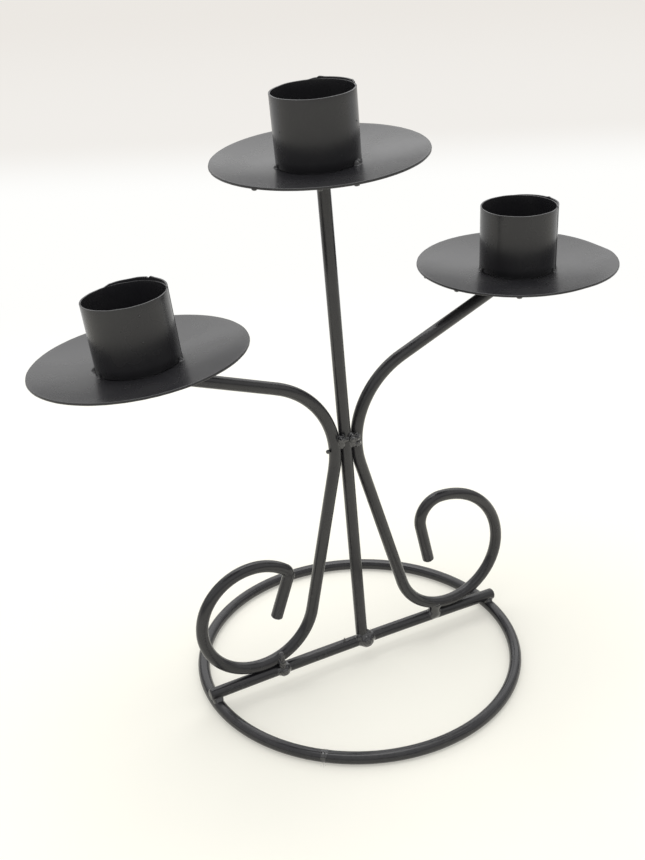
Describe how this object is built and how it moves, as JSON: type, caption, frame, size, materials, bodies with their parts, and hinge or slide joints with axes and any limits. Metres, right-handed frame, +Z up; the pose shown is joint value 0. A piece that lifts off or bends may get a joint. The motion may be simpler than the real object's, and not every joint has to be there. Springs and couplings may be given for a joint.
{
  "type": "candle stand",
  "caption": "Table candle stand of bent black steel wire: ring base, cross bar, stem and scrolls, each arm ending in a dished drip pan and a candle cup.",
  "frame": {"origin": "on the table, at the centre of the base ring", "axes": "+X along the cross bar to the right, +Y to the back, +Z up"},
  "size_m": [0.1834, 0.1076, 0.1879],
  "materials": {
    "black_wire": "satin black paint on round steel wire",
    "black_sheet": "satin black paint on thin steel sheet",
    "weld_bead": "satin black paint over rough weld metal"
  },
  "bodies": {
    "root": {"base_ring": "black_wire", "ring_joint_weld": "weld_bead", "cross_bar": "black_wire", "left_bar_end_weld": "weld_bead", "right_bar_end_weld": "weld_bead", "centre_stem": "black_wire", "stem_foot_weld": "weld_bead", "left_scroll": "black_wire", "right_scroll": "black_wire", "left_scroll_foot_weld": "weld_bead", "right_scroll_foot_weld": "weld_bead", "left_waist_weld": "weld_bead", "right_waist_weld": "weld_bead", "left_drip_pan": "black_sheet", "centre_drip_pan": "black_sheet", "right_drip_pan": "black_sheet", "left_pan_weld": "weld_bead", "centre_pan_weld": "weld_bead", "right_pan_weld": "weld_bead", "left_candle_cup": "black_sheet", "centre_candle_cup": "black_sheet", "right_candle_cup": "black_sheet", "left_cup_tacks": "weld_bead", "centre_cup_tacks": "weld_bead", "right_cup_tacks": "weld_bead"}
  },
  "joints": []
}
